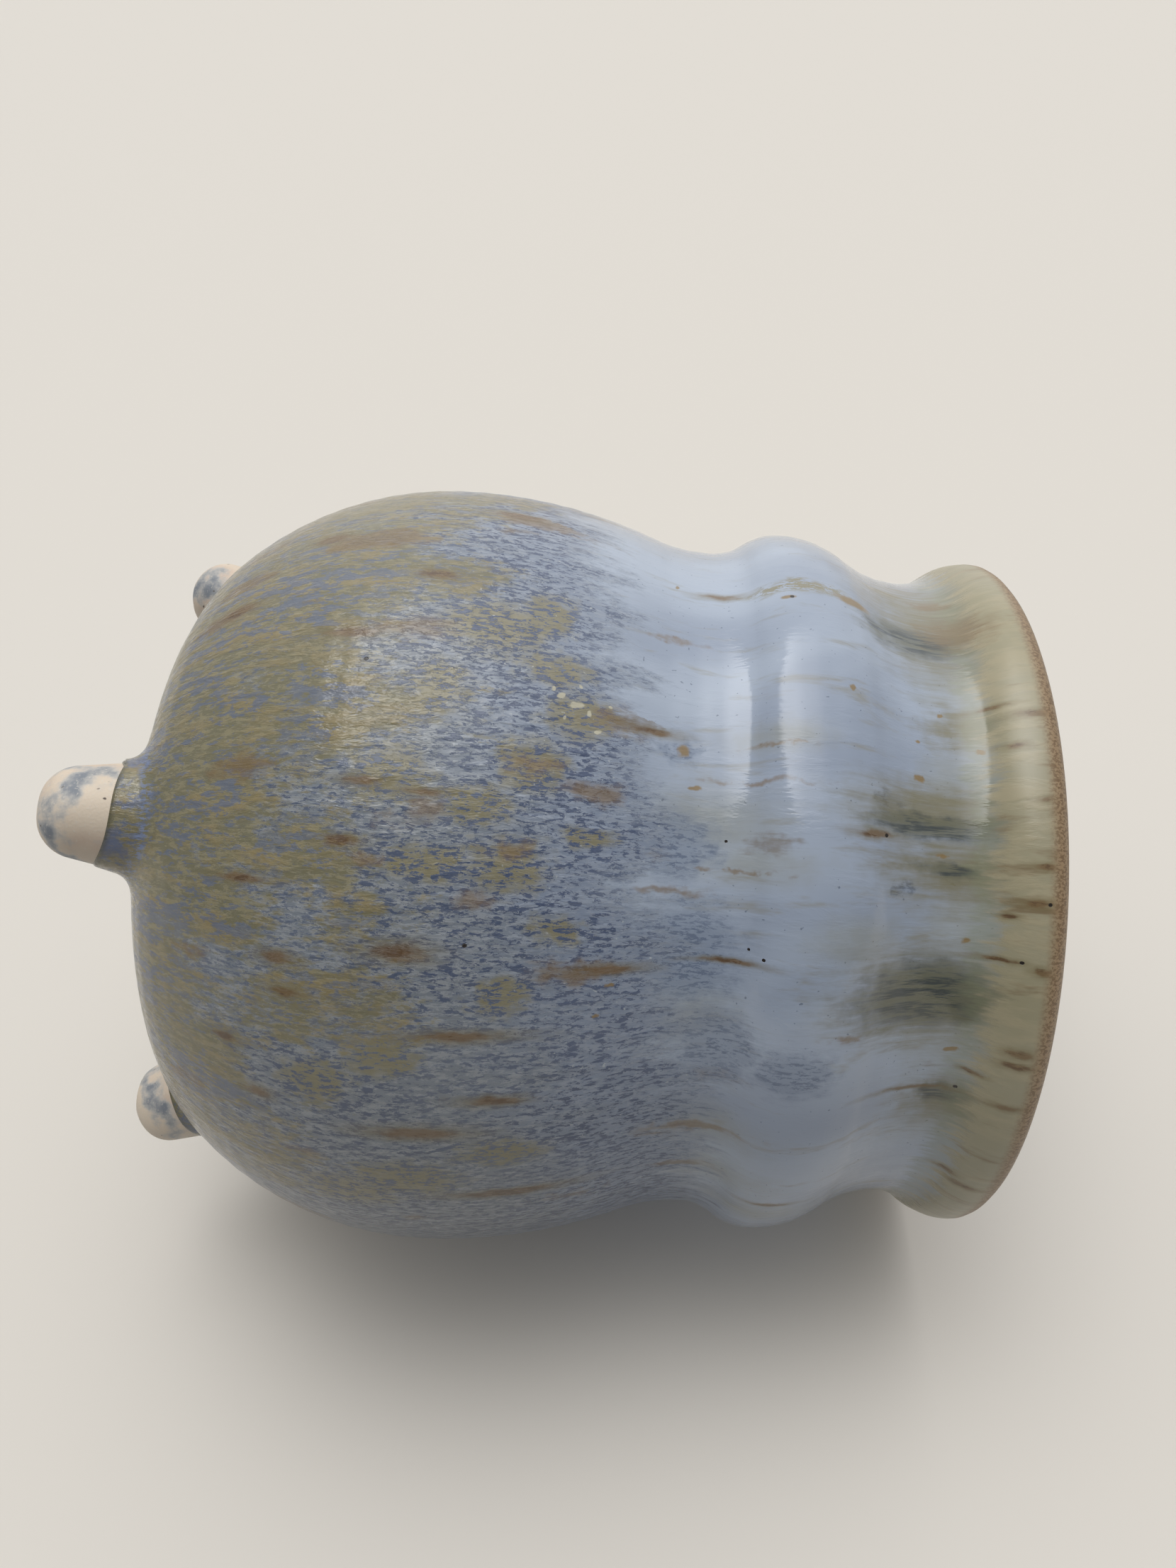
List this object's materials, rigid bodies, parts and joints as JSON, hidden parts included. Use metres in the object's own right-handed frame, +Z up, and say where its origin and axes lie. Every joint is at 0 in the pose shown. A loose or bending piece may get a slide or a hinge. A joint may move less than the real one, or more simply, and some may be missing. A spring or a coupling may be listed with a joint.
{
  "type": "footed stoneware planter",
  "caption": "Small round wheel-thrown planter with a full belly, a ridged collar, a flared lip and a drain hole, glazed inside and out, standing on splayed peg feet.",
  "frame": {"origin": "on the ground under the middle of the pot, midway between the foot tips", "axes": "+Z up along the pot's axis, -Y towards the front foot, +X towards the right foot"},
  "size_m": [0.116, 0.116, 0.1263],
  "materials": {
    "stoneware": "bare fired clay, matt and slightly gritty",
    "outer_glaze": "glossy floating-blue glaze that breaks to olive and brown",
    "liner_glaze": "glossy blue-green and olive glaze"
  },
  "bodies": {
    "root": {"thrown_body": "stoneware", "foot_front": "stoneware", "foot_right": "stoneware", "foot_back": "stoneware", "foot_left": "stoneware", "luting_coil_front": "stoneware", "luting_coil_right": "stoneware", "luting_coil_back": "stoneware", "luting_coil_left": "stoneware", "outer_glaze": "outer_glaze", "liner_glaze": "liner_glaze"}
  },
  "joints": []
}
